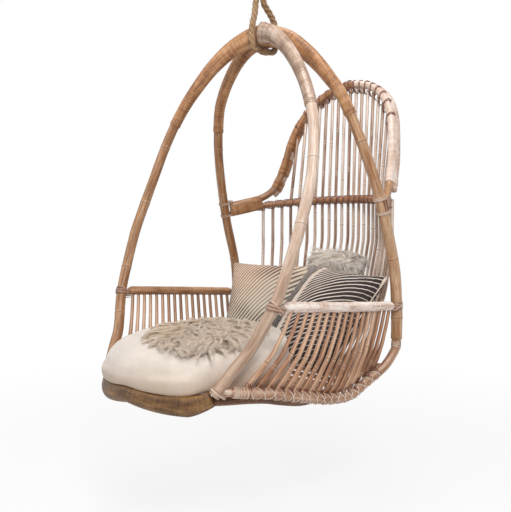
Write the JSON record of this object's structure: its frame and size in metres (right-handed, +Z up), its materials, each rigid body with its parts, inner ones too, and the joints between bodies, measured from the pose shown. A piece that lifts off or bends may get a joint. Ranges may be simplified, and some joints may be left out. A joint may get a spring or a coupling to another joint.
{
  "type": "hanging egg chair",
  "caption": "Hanging egg chair: crossed rattan hoops, a tall slatted back, a slatted basket seat, round cushion, pillows and throws, hung by a rope sling from a swivel ceiling plate.",
  "frame": {"origin": "middle of the ceiling plate's top face, where it meets the ceiling", "axes": "+Z up, -Y towards the front where the sitter gets in, +X to the sitter's left"},
  "size_m": [0.8068, 1.0859, 1.4373],
  "materials": {
    "hardware_black": "satin",
    "hardware_steel": "brushed",
    "rope": "matt twisted natural fibre",
    "rattan_honey": "satin varnish",
    "rattan_pale": "satin varnish, bleached",
    "rattan_brown": "satin varnish",
    "rattan_dark": "satin stain",
    "wrap_honey": "smooth cane wrap, satin",
    "wrap_pale": "smooth cane wrap, satin",
    "wrap_tan": "fine cane wrap, satin",
    "slat_pale": "satin varnish",
    "slat_tan": "satin varnish",
    "cane": "split cane, satin",
    "canvas": "matt cotton canvas",
    "striped_cloth": "matt woven, dark bold stripes",
    "line_cloth": "matt woven, thin dark curved lines",
    "fur": "long soft pile",
    "sheepskin": "long wool on a hide"
  },
  "bodies": {
    "ceiling": {"ceiling_plate": "hardware_black"},
    "swivel": {"swivel_eye": "hardware_steel"},
    "ring": {"hanging_ring": "hardware_steel"},
    "chair": {"hanging_rope": "rope", "rope_whipping": "rope", "hoop_main": "rattan_honey", "hoop_left": "rattan_pale", "hoop_right": "rattan_honey", "crown_wrap_main": "wrap_honey", "crown_wrap_left": "wrap_pale", "crown_wrap_right": "wrap_honey", "armrest_left": "wrap_pale", "armrest_right": "wrap_honey", "back_rail": "rattan_brown", "back_frame": "rattan_pale", "back_frame_outer": "rattan_pale", "side_rail_left": "rattan_pale", "side_rail_right": "rattan_honey", "rear_rail": "rattan_honey", "base_ring": "rattan_dark", "front_roll": "wrap_tan", "seat_slats": "slat_tan", "back_slats": "slat_pale", "side_slats_left": "slat_pale", "side_slats_right": "slat_tan", "rail_lashing_left": "cane", "rail_lashing_right": "cane", "arm_lashings": "cane", "back_lashings": "cane", "foot_lashings": "cane", "seat_cushion": "canvas", "pillow_left": "striped_cloth", "pillow_right": "line_cloth", "fur_throw_seat": "fur", "fur_throw_back": "sheepskin"}
  },
  "joints": [
    {"name": "spin", "type": "hinge", "parent": "ceiling", "child": "swivel", "pos_m": [0, 0, -0.02], "axis": [0, 0, 1], "continuous": true},
    {"name": "swing_side", "type": "hinge", "parent": "swivel", "child": "ring", "pos_m": [0, 0, -0.079], "axis": [0, 1, 0], "range_deg": [-20, 20]},
    {"name": "swing", "type": "hinge", "parent": "ring", "child": "chair", "pos_m": [0, 0, -0.1386], "axis": [1, 0, 0], "range_deg": [-20, 20]}
  ]
}
